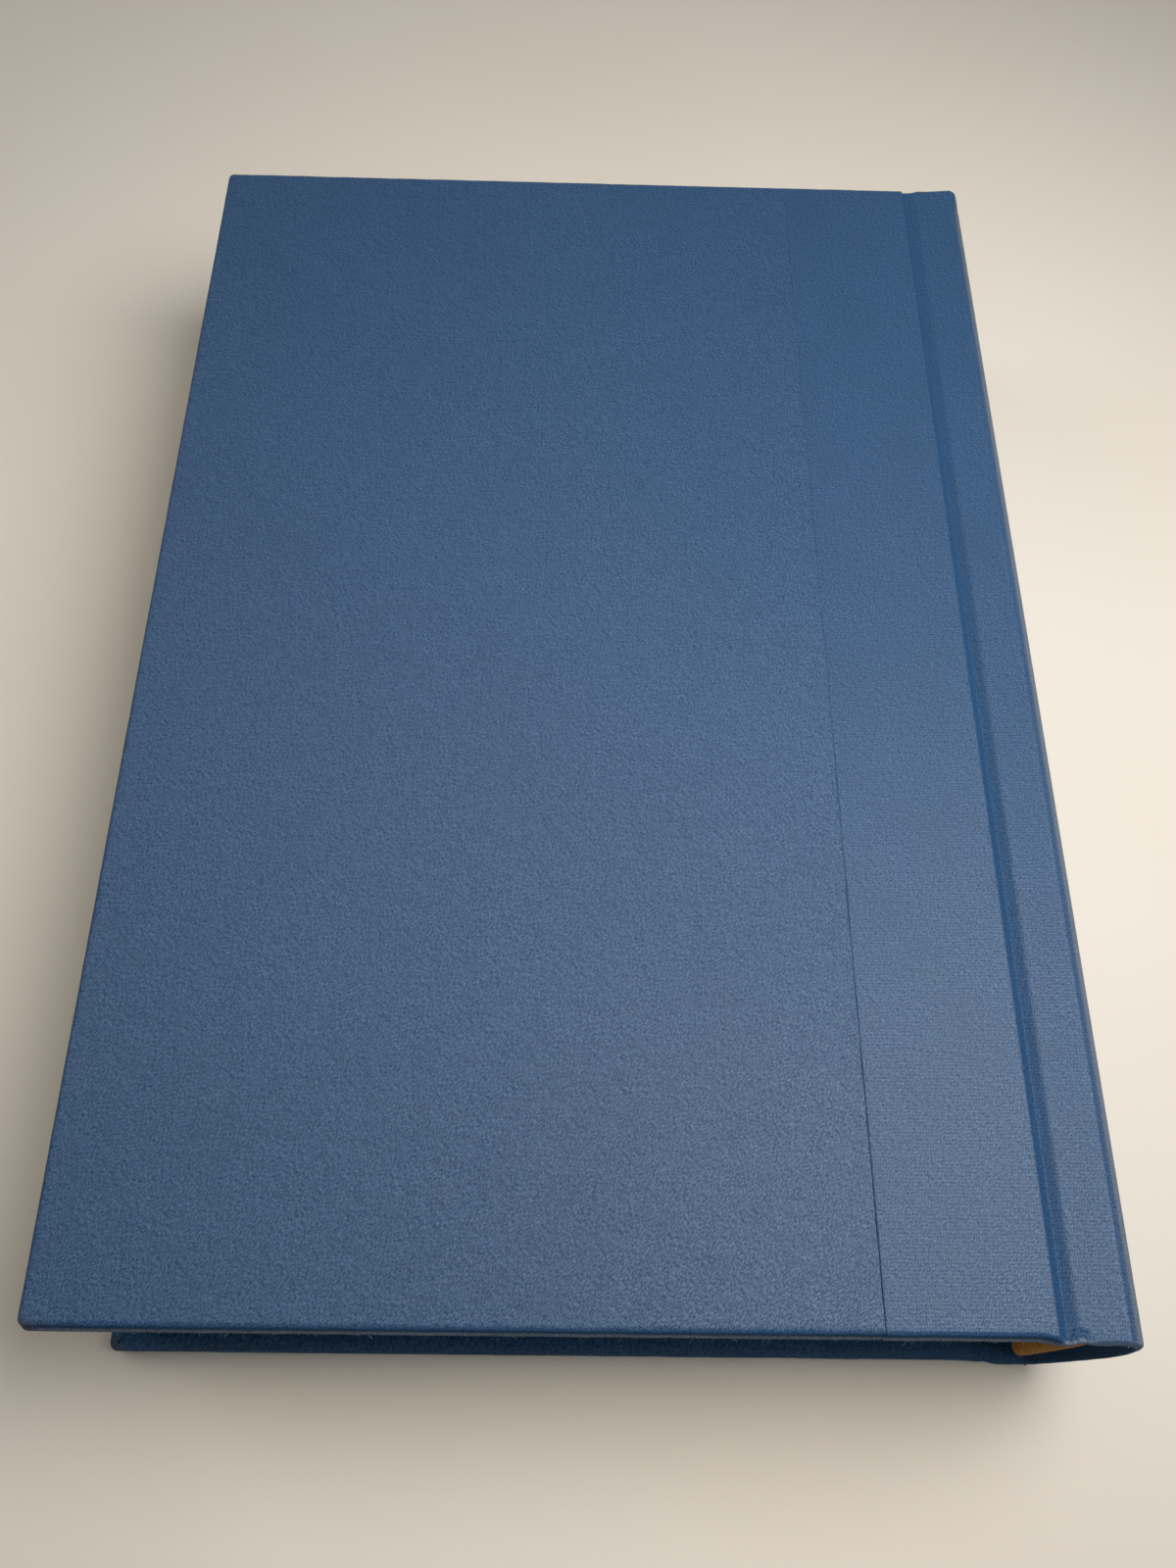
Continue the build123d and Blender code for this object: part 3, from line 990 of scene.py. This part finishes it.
def drawn(kind, low, high, seed):
    """A number or vector drawn at random for each fibre, from a fixed seed."""
    first, output = {"FLOAT_VECTOR": (0, 0), "FLOAT": (2, 1)}[kind]
    sockets = {first: low, first + 1: high, "Seed": wires["Seed"] + seed}
    return fold_line.node("FunctionNodeRandomValue", {"data_type": kind}, sockets, output)


shift = drawn("FLOAT_VECTOR", SCATTER_LOW, SCATTER_HIGH, 1)
loose = fold_line.node("GeometryNodeSetPosition", {}, {"Geometry": roots, "Offset": shift})
bow = fold_line.node("GeometryNodeCurvePrimitiveBezierSegment", {}, {
    "Resolution": 5,
    "Start": (0.0, 0.0, 0.0),
    "Start Handle": (0.05, 0.0, 0.45),
    "End Handle": (0.28, 0.12, 0.75),
    "End": (0.62, -0.1, 0.9),
})
scale = drawn("FLOAT", 0.25, 1.0, 3)
mostly_short = scale.math("POWER", scale, 2.2)
hairs = fold_line.node("GeometryNodeInstanceOnPoints", {}, {
    "Points": loose,
    "Instance": rod(bow, circle(wires["Thickness"], 3)),
    "Rotation": drawn("FLOAT_VECTOR", TURN_LOW, TURN_HIGH, 5),
    "Scale": mostly_short * wires["Length"],
})
fibre_tree = end_tree(wires, hairs)

for side, edge, gap, seed in FIBRE_RUNS:
    z = at_depth(side, FIBRE_DEPTH)
    corner = 2 * CORNER_ROUND
    if edge == "fore":
        x = fore_edge + FIBRE_RIM
        line = [(x, tail_edge + corner, z), (x, head_edge - corner, z)]
    else:
        y = tail_edge + FIBRE_RIM if edge == "tail" else head_edge - FIBRE_RIM
        line = [(fore_edge + corner, y, z), (cover_joint - 1 * MM, y, z)]
    values = {
        "Gap": gap * MM,
        "Length": FIBRE_LENGTH,
        "Thickness": FIBRE / FIBRE_LENGTH,
        "Seed": seed,
        "Finish": fibre_finish,
    }
    fibres = grow(f"{side}_{edge}_fibres", line, fibre_tree, values)
    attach(fibres, side + "_cover")


# The stage: a plain pale floor, lit by a near panel over the spine, a wide one overhead and
# one from the left, with the viewer's eye above the tail of the book.
FLOOR_HALF = 1.6
LIGHT_COLOUR = (1.0, 0.98, 0.95)

floor_finish, wire = new_finish("pale floor")
place = object_place(wire)
cloud = place.grain(0.12, 2.0)
floor_colour = cloud.between(0.3, 0.7).mix(paint(245, 238, 226), paint(242, 234, 221))
surface(wire, floor_colour, 0.6 + cloud * 0.1, cloud, 0.01 * MM, 0.3)
border = ((-1, -1), (1, -1), (1, 1), (-1, 1))
corners = [(x * FLOOR_HALF, y * FLOOR_HALF, 0.0) for x, y in border]
floor = new_piece("floor", corners, [(0, 1, 2, 3)], floor_finish)

world = bpy.data.worlds.new("room")
bpy.context.scene.world = world
world.use_nodes = True
background = world.node_tree.nodes["Background"]
background.inputs["Color"].default_value = (*LIGHT_COLOUR, 1.0)
background.inputs["Strength"].default_value = 0.08


def panel(name, place, target, size, power, spread):
    """A square light that faces its target."""
    lamp = bpy.data.lights.new(name, "AREA")
    lamp.shape = "SQUARE"
    lamp.size = size
    lamp.energy = power
    lamp.color = LIGHT_COLOUR
    lamp.spread = math.radians(spread)
    lit = bpy.data.objects.new(name, lamp)
    lit.location = place
    lit.rotation_euler = (Vector(target) - Vector(place)).to_track_quat("-Z", "Y").to_euler()
    bpy.context.scene.collection.objects.link(lit)


panel("near panel", (0.17, -0.03, 0.38), (0.02, 0.02, 0.04), 0.25, 0.64, 110)
panel("wide panel", (-0.05, 0.25, 1.2), (0.0, 0.05, 0.04), 1.0, 1.3, 180)
panel("side panel", (-1.0, 0.45, 0.75), (0.0, 0.0, 0.03), 0.8, 2.4, 180)

bpy.context.scene.view_settings.view_transform = "Standard"
eye = bpy.data.cameras.new("viewer")
eye.lens = 30.6
eye.sensor_width = 36.0
eye.clip_start = 0.01
viewer = bpy.data.objects.new("viewer", eye)
viewer.location = (-0.0069, -0.1317, 0.2516)
viewer.rotation_euler = [math.radians(angle) for angle in (26.50, -1.34, 0.48)]
bpy.context.scene.collection.objects.link(viewer)
bpy.context.scene.camera = viewer
